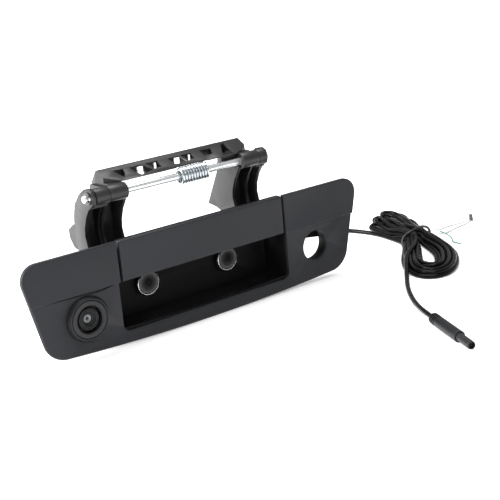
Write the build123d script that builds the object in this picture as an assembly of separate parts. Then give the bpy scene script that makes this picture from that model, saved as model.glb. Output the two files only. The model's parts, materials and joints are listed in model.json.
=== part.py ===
"""Tailgate handle with a built-in reversing camera, standing upright as it is mounted.

X runs along the width, Y from the front face to the back and Z up. The working frame has the front
face at Y = 0 and the floor at Z = FLOOR_Z; save() moves everything so that the origin is the centre
of the base. Fixed: bezel, hinge brackets, rod, camera. Moving: paddle and lever, which turn on the rod.
"""
from build123d import *
import math
import os

# ---- bezel and finger pocket, millimetres ----
PLATE_TOP_WIDTH = 330.0
PLATE_LOW_WIDTH = 294.0
PLATE_TOP_Z = 80.9
FLOOR_Z = -3.0
PLATE_CORNER_Z = 2.5
TOP_CORNER_R = 13.0
LOW_CORNER_R = 20.0
STEP_Z = 48.5
STEP_DEPTH = 1.2
PLATE_WALL = 3.0
EDGE_DEPTH = 3.6
SKIRT_INSET = 9.0
SKIRT_DEPTH = 12.0
FRONT_EDGE_R = 2.4
POCKET_HALF = 82.6
POCKET_FLOOR_Z = 8.5
POCKET_BACK_Y = 33.0
POCKET_WALL = 2.5
POCKET_WALL_TOP_Z = 60.0
POCKET_CORNER_R = 6.0
ARM_NOTCH_Z = 44.0
SLOT_HALF = 81.4
SEAM_WALL = 2.5
FOOT_X = 60.0
FOOT_WIDTH = 16.0
FOOT_BACK_Y = 52.0

# ---- handle paddle and lever ----
PADDLE_HALF = 79.0
PADDLE_WALL = 3.0
PADDLE_LIP_DEPTH = 10.0
PADDLE_TOP_DEPTH = 6.5
PADDLE_PAD_Y = 10.0
PAD_THICK = 2.5
PAD_SCREW_X = 63.2
PAD_SCREW_ZS = (58.5, 72.0)
ARM_INNER_X = 54.4
KNUCKLE_INNER_X = 56.0
ARM_OUTER_X = 71.9
ARM_WALL = 2.4
LEVER_SHELF_Z = 65.5
WEB_Y = 44.0
WEB_THICK = 2.5
LOBE_TIP = (70.5, 70.2)
BAR_HALF = 68.6
BAR_FRONT = (22.0, 119.4)
BAR_PEAK = (38.5, 128.2)

# ---- hinge ----
ROD_Y = 21.3
ROD_Z = 112.7
ROD_R = 3.0
ROD_LEFT_X = -92.6
ROD_RIGHT_X = 78.0
KNUCKLE_R = 6.5
BUSH_R = 4.2
BUSH_BORE_R = 3.05
BRACKET_INNER_X = 72.3
CHEEK_OUTER_X = {-1: 88.0, 1: 81.0}
CHEEK_THICK = 3.2
LEDGE_Z = 57.0
LEDGE_OUTER_X = 97.0
BRACKET_SCREW_XS = {-1: (79.4, 92.4), 1: (85.2, 92.4)}
BRACKET_SCREW_Y = 38.5
SPRING_LEFT_X = -2.2
SPRING_COILS = 10
SPRING_WIRE_R = 1.05
SPRING_PITCH = 2.25
SPRING_MEAN_R = 4.9

# ---- lock opening, studs ----
LOCK_X = 113.2
LOCK_Z = 29.7
LOCK_R = 13.2
LOCK_COLLAR = 2.5
LOCK_DEPTH = 12.0
STUD_X = 39.7
STUD_Z = 31.6
STUD_R = 3.0
STUD_NECK_R = 3.2
STUD_NECK_Y = 37.2
STUD_HEAD_R = 10.5
STUD_END_Y = 62.0

# ---- camera ----
CAM_X = -112.5
CAM_Z = 28.5
CAM_FRONT_Y = -2.6
CAM_RECESS_R = 17.9
CAM_HOLE_R = 16.2
RING_OUTER_R = 17.5
RING_INNER_R = 14.9
HOUSING_R = 14.7
HOUSING_HALF = 12.0
SHOULDER_Y = 16.0
HOUSING_BACK_Y = 33.0
COVER_THICK = 3.0
BARREL_R = 9.0
BARREL_BORE_R = 5.2
YOKE_SCREW_DX = 20.0
COVER_SCREW_D = 9.0

# ---- cable ----
CABLE_R = 2.0
FLOOR_LIFT = 0.05
GLAND_END_Y = 54.0
HANK_HEIGHT = 13.0
WIRE_R = 0.6
PLUG_R = 4.5
PLUG_START = (100.8, -146.4)
PLUG_TIP = (76.6, -206.6)

CREASE = [(-150, 48.4), (-118, 47.3), (-104, 46.2), (-96, 46.6), (-86, 48.4)]
DEPTH_CENTRE = (LOBE_TIP[0] + CAM_FRONT_Y) / 2
SIDES = {"left": -1, "right": 1}
CORNERS = [(dx, dz) for dx in (-1, 1) for dz in (-1, 1)]


# ---- helpers ----
def save(shape, node):
    """Writes one node, moved to the frame whose origin is the centre of the base."""
    solids = [Pos(0, -DEPTH_CENTRE, -FLOOR_Z) * solid for solid in shape.solids()]
    export_step(solids[0] if len(solids) == 1 else Compound(children=solids), f"parts/{node}.step")


def slab(face, front, back):
    """A face drawn in X and Z, thickened from one depth to another."""
    return extrude(Plane.XZ.offset(-front) * face, front - back)


def wall(face, x_a, x_b):
    """A face drawn in Y and Z, thickened from one X to another."""
    return extrude(Plane.YZ.offset(x_a) * face, x_b - x_a)


def side_wall(points, side, near, far):
    """A plate with a Y-Z outline, between two distances from the middle, on one side."""
    face = make_face(Polyline(*points, close=True))
    return wall(face, min(side * near, side * far), max(side * near, side * far))


def block(x_pair, y_pair, z_pair):
    size = [abs(b - a) for a, b in (x_pair, y_pair, z_pair)]
    low = [min(pair) for pair in (x_pair, y_pair, z_pair)]
    return Pos(*low) * Box(*size, align=(Align.MIN, Align.MIN, Align.MIN))


def disc_y(radius, front, back, x=0.0, z=0.0):
    """A round bar along Y."""
    return slab(Pos(x, z) * Circle(radius), front, back)


def ring_y(outer, inner, front, back, x=0.0, z=0.0):
    return disc_y(outer, front, back, x, z) - disc_y(inner, front - 1, back + 1, x, z)


def disc_x(radius, x_a, x_b, y=ROD_Y, z=ROD_Z):
    """A round bar along X."""
    return wall(Pos(y, z) * Circle(radius), min(x_a, x_b), max(x_a, x_b))


def disc_z(radius, low, high, x, y):
    return Pos(x, y, low) * extrude(Circle(radius), high - low)


# ---- bezel ----
def plate_outline():
    top, low = PLATE_TOP_WIDTH / 2, PLATE_LOW_WIDTH / 2
    sides = Polyline((low, PLATE_CORNER_Z), (top, PLATE_TOP_Z), (-top, PLATE_TOP_Z), (-low, PLATE_CORNER_Z))
    bottom = ThreePointArc((-low, PLATE_CORNER_Z), (0, FLOOR_Z), (low, PLATE_CORNER_Z))
    face = make_face(sides + bottom)
    rows = face.vertices().group_by(Axis.Y)
    face = fillet(rows[-1], TOP_CORNER_R)
    low_corners = [v for v in face.vertices() if abs(v.Y - PLATE_CORNER_Z) < 0.5]
    return fillet(low_corners, LOW_CORNER_R)


def rounded_front(solid, radius):
    return fillet(solid.edges().group_by(Axis.Y)[0], radius)


def plate_shell(outline):
    upper = outline & Pos(0, STEP_Z + 50) * Rectangle(400, 100)
    body = rounded_front(slab(outline, STEP_DEPTH, EDGE_DEPTH), FRONT_EDGE_R - 0.4)
    body += rounded_front(slab(upper, 0, EDGE_DEPTH), STEP_DEPTH - 0.1)
    skirt = offset(outline, -SKIRT_INSET) - offset(outline, -SKIRT_INSET - PLATE_WALL)
    return body + slab(skirt, EDGE_DEPTH - 0.5, SKIRT_DEPTH)


def pocket_sketch(grow):
    """The pocket's outline in X and Z, open at the top."""
    half, low = POCKET_HALF + grow, POCKET_FLOOR_Z - grow
    face = Pos(0, (low + POCKET_WALL_TOP_Z) / 2) * Rectangle(2 * half, POCKET_WALL_TOP_Z - low)
    return fillet(face.vertices().group_by(Axis.Y)[0], POCKET_CORNER_R + grow)


def pocket_tray():
    outer = slab(pocket_sketch(POCKET_WALL), EDGE_DEPTH, POCKET_BACK_Y + POCKET_WALL)
    tray = outer - slab(pocket_sketch(0), PLATE_WALL - 1, POCKET_BACK_Y)
    tray -= block((-POCKET_HALF, POCKET_HALF), (0, POCKET_BACK_Y), (STEP_Z, POCKET_WALL_TOP_Z + 1))
    for side in SIDES.values():
        notch = (side * (ARM_INNER_X - 2), side * (ARM_OUTER_X + 1.4))
        tray -= block(notch, (POCKET_BACK_Y - 1, POCKET_BACK_Y + POCKET_WALL + 1), (ARM_NOTCH_Z, 70))
        tray -= disc_y(STUD_NECK_R, POCKET_BACK_Y - 1, POCKET_BACK_Y + POCKET_WALL + 1, side * STUD_X, STUD_Z)
    return tray


def bracket_ledge(side):
    """The ledge behind the pocket that a hinge bracket is screwed down on."""
    inner = side * (BRACKET_INNER_X + 1.2)
    ledge = block((inner, side * LEDGE_OUTER_X), (POCKET_BACK_Y, 50), (LEDGE_Z, POCKET_WALL_TOP_Z))
    gusset = [(POCKET_BACK_Y, 30), (POCKET_BACK_Y, LEDGE_Z), (49, LEDGE_Z), (POCKET_BACK_Y + 3, 30)]
    ledge += side_wall(gusset, side, POCKET_HALF, POCKET_HALF + POCKET_WALL)
    for x in BRACKET_SCREW_XS[side]:
        ledge += disc_z(4.0, LEDGE_Z - 8, LEDGE_Z + 1, side * x, BRACKET_SCREW_Y)
    for x in BRACKET_SCREW_XS[side]:
        ledge -= disc_z(2.05, LEDGE_Z - 7, POCKET_WALL_TOP_Z + 1, side * x, BRACKET_SCREW_Y)
    return ledge


def bezel_foot(side):
    x_pair = (side * (FOOT_X - FOOT_WIDTH / 2), side * (FOOT_X + FOOT_WIDTH / 2))
    back = POCKET_BACK_Y + POCKET_WALL
    foot = block(x_pair, (back - 12, FOOT_BACK_Y), (FLOOR_Z, FLOOR_Z + 3))
    foot += block(x_pair, (back - POCKET_WALL, back), (FLOOR_Z, POCKET_FLOOR_Z))
    return foot + block(x_pair, (FOOT_BACK_Y - 3, FOOT_BACK_Y), (FLOOR_Z, 7))


def lock_collar():
    """The collar behind the lock opening, with the stop that closes its upper part."""
    collar = ring_y(LOCK_R + LOCK_COLLAR, LOCK_R, EDGE_DEPTH - 0.5, LOCK_DEPTH, LOCK_X, LOCK_Z)
    stop_face = (Pos(LOCK_X, LOCK_Z) * Circle(LOCK_R + LOCK_COLLAR)) & (
        Pos(LOCK_X + 2, LOCK_Z + 14.5) * Rot(0, 0, -8) * Rectangle(32, 20)
    )
    return collar + slab(stop_face, LOCK_DEPTH, LOCK_DEPTH + 2.5)


def front_bezel():
    body = plate_shell(plate_outline())
    body -= slab(pocket_sketch(0) & Pos(0, STEP_Z / 2) * Rectangle(400, STEP_Z), -1, EDGE_DEPTH + 1)
    body -= block((-SLOT_HALF, SLOT_HALF), (-1, SKIRT_DEPTH + 1), (STEP_Z - 0.01, PLATE_TOP_Z + 1))
    for side in SIDES.values():
        seam = (side * SLOT_HALF, side * (SLOT_HALF + SEAM_WALL))
        body += block(seam, (2.4, SKIRT_DEPTH), (STEP_Z, PLATE_TOP_Z - 5))
        body += block((side * 74.5, side * (POCKET_HALF + 1)), (10.7, 13), (61, 71))
        body += disc_y(3.4, EDGE_DEPTH - 0.5, SHOULDER_Y, CAM_X + side * YOKE_SCREW_DX, CAM_Z)
        body -= disc_y(1.25, EDGE_DEPTH + 2, SHOULDER_Y + 1, CAM_X + side * YOKE_SCREW_DX, CAM_Z)
    body += lock_collar()
    body -= disc_y(LOCK_R, -1, LOCK_DEPTH, LOCK_X, LOCK_Z)
    body -= disc_y(CAM_RECESS_R, -1, 2.4, CAM_X, CAM_Z)
    body -= slab(make_face(Polyline(*CREASE, close=True)), -1, 2.3)
    body -= disc_y(CAM_HOLE_R, -1, EDGE_DEPTH + 1, CAM_X, CAM_Z)
    return body


def finger_pocket(bezel):
    """The tray behind the opening, with the ledges for the hinge brackets and the feet."""
    body = pocket_tray()
    for side in SIDES.values():
        body += bracket_ledge(side)
        body += bezel_foot(side)
    return body - bezel


def stop_bumpers():
    """Rubber buttons that the paddle's ends rest against."""
    buttons = [disc_y(2.8, PADDLE_TOP_DEPTH + 0.3, 10.7, side * 77.8, 66) for side in SIDES.values()]
    return Compound(children=buttons)


# ---- paddle and lever ----
def paddle_section():
    """The paddle's C section in Y and Z: front wall, finger lip below, flange above."""
    top, low = PLATE_TOP_Z, STEP_Z
    return make_face(
        Polyline(
            (0, low), (PADDLE_LIP_DEPTH - 0.5, low), (PADDLE_LIP_DEPTH - 0.5, low + 5.5),
            (PADDLE_LIP_DEPTH - 2.5, low + 5.5), (PADDLE_LIP_DEPTH - 2.5, low + 2.8), (PADDLE_WALL, low + 2.8),
            (PADDLE_WALL, top - 2.6), (PADDLE_TOP_DEPTH, top - 2.6), (PADDLE_TOP_DEPTH, top), (0, top),
            close=True,
        )
    )


def handle_paddle():
    shell = wall(paddle_section(), -PADDLE_HALF, PADDLE_HALF)
    front = shell.edges().filter_by(Axis.X).group_by(Axis.Y)[0]
    shell = fillet(front, 2.0)
    end_face = make_face(
        Polyline((1, STEP_Z + 1), (PADDLE_TOP_DEPTH, STEP_Z + 1), (PADDLE_TOP_DEPTH, PLATE_TOP_Z - 1),
                 (1, PLATE_TOP_Z - 1), close=True)
    )
    for side in SIDES.values():
        near = side * (PADDLE_HALF - 2.4)
        shell += wall(end_face, min(near, side * PADDLE_HALF), max(near, side * PADDLE_HALF))
        for z in PAD_SCREW_ZS:
            shell += disc_y(4.0, PADDLE_WALL - 0.5, PADDLE_PAD_Y, side * PAD_SCREW_X, z)
            shell -= disc_y(2.05, PADDLE_WALL + 1.2, PADDLE_PAD_Y + 1, side * PAD_SCREW_X, z)
    return shell


def arm_front(set_back=0.0):
    """The arm's front edge from the knuckle down to the shelf."""
    curve = [(20, 109.5), (29, 96.5), (33, 87.5), (34, 80.5), (32, 72.5), (29, 68)]
    return [(y + set_back, z) for y, z in curve]


def inner_arm_outline():
    foot = [(PADDLE_PAD_Y + 2, 68), (PADDLE_PAD_Y + 2, 54), (40, 54), (46, 58), (50.9, 65.1), (54.6, 67.2)]
    rear = [(59.4, 68.8), LOBE_TIP, (63.2, 83.1), (53.4, 100.4), (49.5, 117), (24, 117)]
    return arm_front() + foot + rear


def outer_arm_outline():
    foot = [(PADDLE_PAD_Y + 2, 68), (PADDLE_PAD_Y + 2, 54), (40, 54), (46.5, 60)]
    return arm_front(2.5) + foot + [(46.5, 117), (26, 117)]


def bar_section():
    return make_face(
        Polyline(BAR_FRONT, BAR_PEAK, (40.5, 128.0), (48.5, 118), (48, 114.5), (40, 116), (35, 119.4), close=True)
    )


def bar_windows():
    """Window outlines on the bar's sloping face, as X and height up the slope, left to right."""
    return [
        [(-56.5, 14.5), (-47.8, 13.8), (-48.5, 9), (-51.8, 4), (-54.5, 9.5)],
        [(-41.6, 13.5), (-31, 13.5), (-24.4, 5), (-37, 2.5), (-40, 7)],
        [(-27.3, 14), (-15.8, 14), (-16, 6), (-22, 6)],
        [(-5.9, 13.5), (4.5, 13.5), (8.4, 5), (-3, 5)],
        [(6.6, 14), (16.8, 14), (16, 6.5), (11, 6.5)],
        [(25.7, 14.5), (36.7, 14), (34.5, 7), (26, 7)],
        [(48.5, 16), (52, 16), (52, 2.5), (41.5, 2.5)],
    ]


def cross_bar():
    bar = wall(bar_section(), -BAR_HALF, BAR_HALF)
    root = [(24, 115), (24, 120.4), (37.5, 127.6), (40.5, 128.0), (48.5, 118), (48, 112), (30, 112)]
    rise = BAR_PEAK[1] - BAR_FRONT[1]
    slope = Plane(origin=(0, *BAR_FRONT), x_dir=(1, 0, 0), z_dir=(0, -rise, BAR_PEAK[0] - BAR_FRONT[0]))
    for outline in bar_windows():
        window = make_face(Polyline(*outline, close=True))
        bar -= extrude(slope * window, -9) + extrude(slope * window, 2)
    for x, width in ((-40.8, 6.0), (-25.0, 2.5), (-5.4, 5.5), (8.5, 2.0)):
        slot = Polyline((x, 27), (x + width, 27), (x + width + 18, 52), (x + 18, 52), close=True)
        bar -= Pos(0, 0, 112) * extrude(make_face(slot), 12.6)
    bar -= block((-6, 24), (20, 23.6), (119, 121.0))
    for side in SIDES.values():
        bar += side_wall(root, side, 57, BAR_HALF)
        tip = side * (BAR_HALF + 1)
        corner = Polyline((side * 54.5, 21), (tip, 21), (tip, 30.4), (side * 54.5, 22.2), close=True)
        bar -= Pos(0, 0, 119.3) * extrude(make_face(corner), 10)
    return bar


def lever_arm(side):
    shelf_x = (side * ARM_INNER_X, side * ARM_OUTER_X)
    arm = side_wall(inner_arm_outline(), side, ARM_INNER_X, ARM_INNER_X + ARM_WALL)
    arm += side_wall(outer_arm_outline(), side, ARM_OUTER_X - ARM_WALL, ARM_OUTER_X)
    arm += block(shelf_x, (WEB_Y, WEB_Y + WEB_THICK), (LEVER_SHELF_Z, 117))
    arm += block(shelf_x, (PADDLE_PAD_Y + 1, WEB_Y + 1), (LEVER_SHELF_Z, 68))
    arm += block(shelf_x, (PADDLE_PAD_Y, PADDLE_PAD_Y + PAD_THICK), (53, 76))
    arm += disc_x(KNUCKLE_R, side * KNUCKLE_INNER_X, side * ARM_OUTER_X)
    arm += block((side * KNUCKLE_INNER_X, side * BAR_HALF), (ROD_Y, 30), (115, 119.1))
    for z in PAD_SCREW_ZS:
        arm -= disc_y(2.2, PADDLE_PAD_Y - 1, PADDLE_PAD_Y + 4, side * PAD_SCREW_X, z)
    return arm


def lever_frame():
    frame = cross_bar()
    for side in SIDES.values():
        frame += lever_arm(side)
    frame += block((41, ARM_INNER_X + 1), (25.5, 28.5), (113.5, 121))
    return frame - disc_x(BUSH_R, -ARM_OUTER_X - 1, ARM_OUTER_X + 1)


def rod_bushings():
    """Plain plastic bushes pressed into the lever's two knuckles."""
    pieces = []
    for side in SIDES.values():
        bush = disc_x(BUSH_R, side * KNUCKLE_INNER_X, side * ARM_OUTER_X)
        pieces.append(bush - disc_x(BUSH_BORE_R, -ARM_OUTER_X - 1, ARM_OUTER_X + 1))
    return Compound(children=pieces)


def screw_y(x, z, head_y, length, radius=2.0, head_r=3.4, head=2.2):
    """A pan-head screw along Y, its head behind head_y and its shank in front of it."""
    pan = chamfer(disc_y(head_r, head_y, head_y + head, x, z).edges().group_by(Axis.Y)[-1], 0.6)
    cross = block((x - 0.5, x + 0.5), (head_y + head - 1, head_y + head + 1), (z - 2, z + 2))
    cross += block((x - 2, x + 2), (head_y + head - 1, head_y + head + 1), (z - 0.5, z + 0.5))
    return pan + disc_y(radius, head_y - length, head_y, x, z) - cross


def paddle_screws():
    head_y = PADDLE_PAD_Y + PAD_THICK
    return Compound(children=[screw_y(side * PAD_SCREW_X, z, head_y, 7.5)
                              for side in SIDES.values() for z in PAD_SCREW_ZS])


# ---- fixed hinge ----
def cheek_outline():
    """The outer cheek: rounded over the rod, hollow at the front and bowed at the back."""
    front = [(32, 72.5), (34, 80.5), (33, 87.5), (29, 96.5), (23, 104), (16.8, 107.5), (15.2, 112.7)]
    crown = [(17.2, 118), (21.6, 120), (27.7, 118.9), (36.5, 113.5), (42.4, 107.1), (46.5, 100)]
    rear = [(48.8, 92.1), (49.6, 84), (48.6, 72.3), (46, POCKET_WALL_TOP_Z), (31, POCKET_WALL_TOP_Z)]
    return front + crown + rear


def hinge_bracket(side):
    top = POCKET_WALL_TOP_Z
    outer = CHEEK_OUTER_X[side]
    inner = outer - CHEEK_THICK
    divider = arm_front(4.0)[:-1] + [(36, top), (WEB_Y + 1, top), (WEB_Y + 1, 104), (28, 106)]
    lobe = [(45, 89), (57, 86), (65, 81), (64.6, 74), (59, 67), (45, 64)]
    span = (side * BRACKET_INNER_X, side * outer)
    body = side_wall(cheek_outline(), side, inner, outer)
    body += side_wall(divider, side, BRACKET_INNER_X, BRACKET_INNER_X + 1.6)
    body += side_wall(lobe, side, inner - 2.5, inner + 0.5)
    body += block(span, (WEB_Y - 1, WEB_Y + WEB_THICK - 1), (top, 104))
    body += block(span, (ROD_Y, WEB_Y), (104, 106.5))
    body += block((side * BRACKET_INNER_X, side * (LEDGE_OUTER_X - 1)), (31, 49), (top, top + 3))
    knuckle = disc_x(KNUCKLE_R, side * BRACKET_INNER_X, side * (outer if side > 0 else inner - 0.8))
    if side > 0:
        knuckle = fillet(knuckle.edges().group_by(Axis.X)[-1], 1.8)
    body += knuckle
    for x in BRACKET_SCREW_XS[side]:
        body -= disc_z(2.2, top - 1, top + 4, side * x, BRACKET_SCREW_Y)
    bore_end = -outer - 1 if side < 0 else ROD_RIGHT_X + 0.5
    return body - disc_x(ROD_R, side * (BRACKET_INNER_X - 1), bore_end)


def bracket_screws():
    pieces = []
    seat = POCKET_WALL_TOP_Z + 3
    for side in SIDES.values():
        for x in BRACKET_SCREW_XS[side]:
            head = disc_z(2.9, seat, seat + 2.4, side * x, BRACKET_SCREW_Y)
            head = chamfer(head.edges().group_by(Axis.Z)[-1], 0.6)
            socket = disc_z(1.4, seat + 1, seat + 4, side * x, BRACKET_SCREW_Y)
            pieces.append(head + disc_z(2.0, seat - 11, seat, side * x, BRACKET_SCREW_Y) - socket)
    return Compound(children=pieces)


def pivot_rod():
    rod = disc_x(ROD_R, ROD_LEFT_X, ROD_RIGHT_X)
    rod = chamfer(rod.edges().group_by(Axis.X)[0], 0.6)
    groove = disc_x(ROD_R + 1, -90.0, -89.1) - disc_x(2.4, -91, -88.1)
    leg_hole = Pos(SPRING_LEFT_X, ROD_Y, ROD_Z) * Cylinder(SPRING_WIRE_R + 0.05, 8)
    return rod - groove - leg_hole


def rod_clip():
    """The open retaining clip in the rod's groove."""
    clip = disc_x(5.0, -89.95, -89.15) - disc_x(2.42, -90.5, -88.5)
    return clip - block((-91, -88), (ROD_Y - 6, ROD_Y), (ROD_Z - 1.9, ROD_Z + 1.9))


def return_spring():
    """Close-wound torsion spring: one leg in the rod, the other up under the cross bar."""
    length = SPRING_COILS * SPRING_PITCH
    helix = Helix(SPRING_PITCH, length, SPRING_MEAN_R)
    start = Plane(origin=helix @ 0, z_dir=helix % 0)
    coil = sweep(start * Circle(SPRING_WIRE_R), path=helix)
    coil = Pos(SPRING_LEFT_X, ROD_Y, ROD_Z) * Rot(0, 90, 0) * coil
    right = SPRING_LEFT_X + length
    low_leg = Pos(SPRING_LEFT_X, ROD_Y, ROD_Z - SPRING_MEAN_R / 2 - 0.6) * Cylinder(SPRING_WIRE_R, 4.2)
    top = ROD_Z + SPRING_MEAN_R
    long_leg = disc_y(SPRING_WIRE_R, ROD_Y, ROD_Y + 11, right, top)
    return [coil, low_leg, long_leg]


# ---- studs ----
def mounting_studs():
    """Round-headed studs that pass through the pocket's back wall."""
    studs = []
    for side in SIDES.values():
        head = disc_y(STUD_HEAD_R, POCKET_BACK_Y - 3, POCKET_BACK_Y, side * STUD_X, STUD_Z)
        head = fillet(head.edges().group_by(Axis.Y)[0], 1.6)
        neck = disc_y(STUD_NECK_R, POCKET_BACK_Y, STUD_NECK_Y, side * STUD_X, STUD_Z)
        shank = disc_y(STUD_R, STUD_NECK_Y, STUD_END_Y, side * STUD_X, STUD_Z)
        studs.append(head + neck + chamfer(shank.edges().group_by(Axis.Y)[-1], 0.7))
    return Compound(children=studs)


def stud_washers():
    """Push-on washers that hold the studs in the bezel."""
    back = POCKET_BACK_Y + POCKET_WALL
    return Compound(children=[ring_y(8.0, STUD_NECK_R, back, back + 1.2, side * STUD_X, STUD_Z)
                              for side in SIDES.values()])


# ---- camera ----
def turned(points):
    """A body of revolution about the camera's axis, from radius and depth pairs."""
    face = make_face(Polyline(*points, close=True))
    spun = revolve(Plane.XY * face, Axis.Y)
    return Pos(CAM_X, 0, CAM_Z) * spun


def camera_trim_ring():
    """The raised ring that closes the gap between the bezel and the camera."""
    return turned([(RING_INNER_R, -1.7), (RING_INNER_R + 0.5, -2.4), (RING_INNER_R + 1.1, -2.3), (RING_OUTER_R - 0.2, 0.4),
                   (RING_OUTER_R, 1.0), (RING_OUTER_R, 2.4), (CAM_HOLE_R - 0.1, 2.4), (CAM_HOLE_R - 0.1, 9.5),
                   (RING_INNER_R, 9.5)])


def camera_housing():
    """Round front with a recessed mouth, and a square box behind for the electronics."""
    mouth, bore = 10.6, BARREL_R + 0.02
    front = turned([(mouth, -1.8), (mouth + 0.7, CAM_FRONT_Y), (HOUSING_R - 0.6, CAM_FRONT_Y), (HOUSING_R, -1.9),
                    (HOUSING_R, SHOULDER_Y), (bore, SHOULDER_Y), (bore, 4.0), (mouth, 4.0)])
    spot = Pos(CAM_X, CAM_Z)
    box = slab(spot * RectangleRounded(2 * HOUSING_HALF, 2 * HOUSING_HALF, 2), SHOULDER_Y, HOUSING_BACK_Y)
    room = slab(spot * RectangleRounded(20.5, 20.5, 1.2), SHOULDER_Y + 3, HOUSING_BACK_Y + 1)
    body = front + box - room - disc_y(bore, 5, 22, CAM_X, CAM_Z)
    for dx, dz in CORNERS:
        x, z = CAM_X + dx * COVER_SCREW_D, CAM_Z + dz * COVER_SCREW_D
        body += disc_y(1.6, SHOULDER_Y + 2, HOUSING_BACK_Y, x, z)
        body -= disc_y(0.85, HOUSING_BACK_Y - 7, HOUSING_BACK_Y + 1, x, z)
    return body


def lens_barrel():
    return turned([(6.6, -0.3), (8.0, -0.9), (8.6, -0.2), (BARREL_R, 0.3), (BARREL_R, 6.0), (8.2, 6.0), (8.2, 7.8),
                   (BARREL_R, 7.8), (BARREL_R, 19.5), (BARREL_BORE_R, 19.5), (BARREL_BORE_R, 1.8), (6.2, 0.6)])


def lens_front_glass():
    """The domed front element, seated in the barrel."""
    blank = disc_y(BARREL_BORE_R - 0.02, 0.2, 5.0, CAM_X, CAM_Z)
    return blank & Pos(CAM_X, 9.3, CAM_Z) * Sphere(9.0)


def lens_seal():
    return turned([(8.22, 6.05), (BARREL_R, 6.05), (BARREL_R, 7.75), (8.22, 7.75)])


def camera_yoke():
    """The strap behind the bezel that holds the housing by its shoulder."""
    plate = slab(Pos(CAM_X, CAM_Z) * RectangleRounded(2 * YOKE_SCREW_DX + 8, 29, 4), SHOULDER_Y, SHOULDER_Y + 2)
    hole = slab(Pos(CAM_X, CAM_Z) * RectangleRounded(2 * HOUSING_HALF + 0.3, 2 * HOUSING_HALF + 0.3, 2), 10, 20)
    for side in SIDES.values():
        hole += disc_y(1.6, 10, 20, CAM_X + side * YOKE_SCREW_DX, CAM_Z)
    return plate - hole


def camera_cover():
    plate = slab(Pos(CAM_X, CAM_Z) * RectangleRounded(24, 24, 2), HOUSING_BACK_Y, HOUSING_BACK_Y + COVER_THICK)
    plate = chamfer(plate.edges().group_by(Axis.Y)[-1], 0.8)
    for dx, dz in CORNERS:
        plate -= disc_y(0.95, 30, 40, CAM_X + dx * COVER_SCREW_D, CAM_Z + dz * COVER_SCREW_D)
    return plate - disc_y(3.5, 30, 40, CAM_X, CAM_Z)


def cable_gland():
    """The moulded strain relief, tapering from the cover to the cable."""
    back = HOUSING_BACK_Y + COVER_THICK
    cone = turned([(CABLE_R, back - 4.5), (4.6, back - 4.5), (4.6, back - COVER_THICK - 0.05), (3.48, back - COVER_THICK),
                   (3.48, back), (5.2, back), (5.2, back + 2.5), (4.2, back + 3.5), (2.8, GLAND_END_Y),
                   (CABLE_R, GLAND_END_Y)])
    for y in (42.0, 45.5, 49.0):
        cone -= ring_y(6, 3.0 - (y - 42) * 0.06, y, y + 1.2, CAM_X, CAM_Z)
    return cone


def inner_camera_parts():
    """Sealed pieces: aperture, rear lens, circuit board and image sensor."""
    aperture = ring_y(BARREL_BORE_R - 0.02, 1.3, 5.1, 5.6, CAM_X, CAM_Z)
    rear_lens = turned([(0, 11.0), (4.4, 12.0), (4.4, 14.0), (0, 14.8)])
    board = slab(Pos(CAM_X, CAM_Z) * RectangleRounded(14, 19.5, 1), 22.4, 24.0)
    sensor = block((CAM_X - 4, CAM_X + 4), (20.9, 22.4), (CAM_Z - 4, CAM_Z + 4))
    return {"lens_aperture": aperture, "lens_rear_glass": rear_lens, "camera_board": board, "image_sensor": sensor}


# ---- cable ----
def rounded_tube(points, radius, label):
    """A tube of straight runs and tangent arcs, each arc as large as its two runs allow."""
    spots = [Vector(*p) for p in points]
    runs = [b - a for a, b in zip(spots, spots[1:])]
    turns = [a.get_angle(b) for a, b in zip(runs, runs[1:])]
    bends = [0.45 * min(a.length, b.length) / math.tan(math.radians(turn / 2))
             for a, b, turn in zip(runs, runs[1:], turns)]
    path = FilletPolyline(*points, radius=bends)
    tube = sweep(Plane(origin=path @ 0, z_dir=path % 0) * Circle(radius), path=path)
    print(label, "length", round(path.length, 1), "turns", [round(t) for t in turns],
          "radii", [round(b, 1) for b in bends], "volume ratio",
          round(tube.volume / (math.pi * radius**2 * path.length), 4))
    return tube


# Routes are points along X and Y with their height above the floor.
LOW = CABLE_R + FLOOR_LIFT
WIRE_LOW = WIRE_R + FLOOR_LIFT
LEAD_ROUTE = [
    (CAM_X, GLAND_END_Y, CAM_Z - FLOOR_Z), (-112.0, 74, 30), (-107, 97, 15), (-92, 118, LOW), (-63, 131, LOW),
    (-24, 132, LOW), (24, 125, LOW), (76, 123, LOW), (126, 131, LOW), (172, 137, LOW), (208, 126, LOW),
    (231, 98, LOW), (241, 64, LOW), (236, 24, LOW),
]
TAIL_ROUTE = [
    (203, -19, 10.4), (193, -27, 9.2), (182.5, -37.5, 7.2), (171.5, -48.5, 4.6), (160, -60, 2.6),
    (147.5, -73, LOW), (134.5, -88.5, LOW), (122.5, -105.5, LOW), (113, -121, 3.2), (106, -133.4, PLUG_R),
    (100.8, -146.4, PLUG_R),
]
WHITE_WIRE = [(272, 12, 7), (279, 15, 4.5), (287, 20, 1.6), (297, 24.5, WIRE_LOW), (308, 24.5, WIRE_LOW),
              (319, 21.5, WIRE_LOW), (329.5, 20.4, 1.2)]
GREY_WIRE = [(271, 6, 4.5), (278, 8, 2.2), (286, 10.5, WIRE_LOW), (296, 13, WIRE_LOW), (307, 15.0, WIRE_LOW),
             (318, 16, WIRE_LOW), (329.0, 17.6, 1.2)]
GREEN_WIRE = [(268, 3, 8), (272, -3, 5), (271, -10, 2.4), (265, -16, WIRE_LOW), (267.5, -24, WIRE_LOW)]
HANK_AXIS = (-0.616, -0.788)
HANK_TIE = (247.7, 11.9)


def routed(points, radius, label):
    return rounded_tube([(x, y, height + FLOOR_Z) for x, y, height in points], radius, label)


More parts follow.
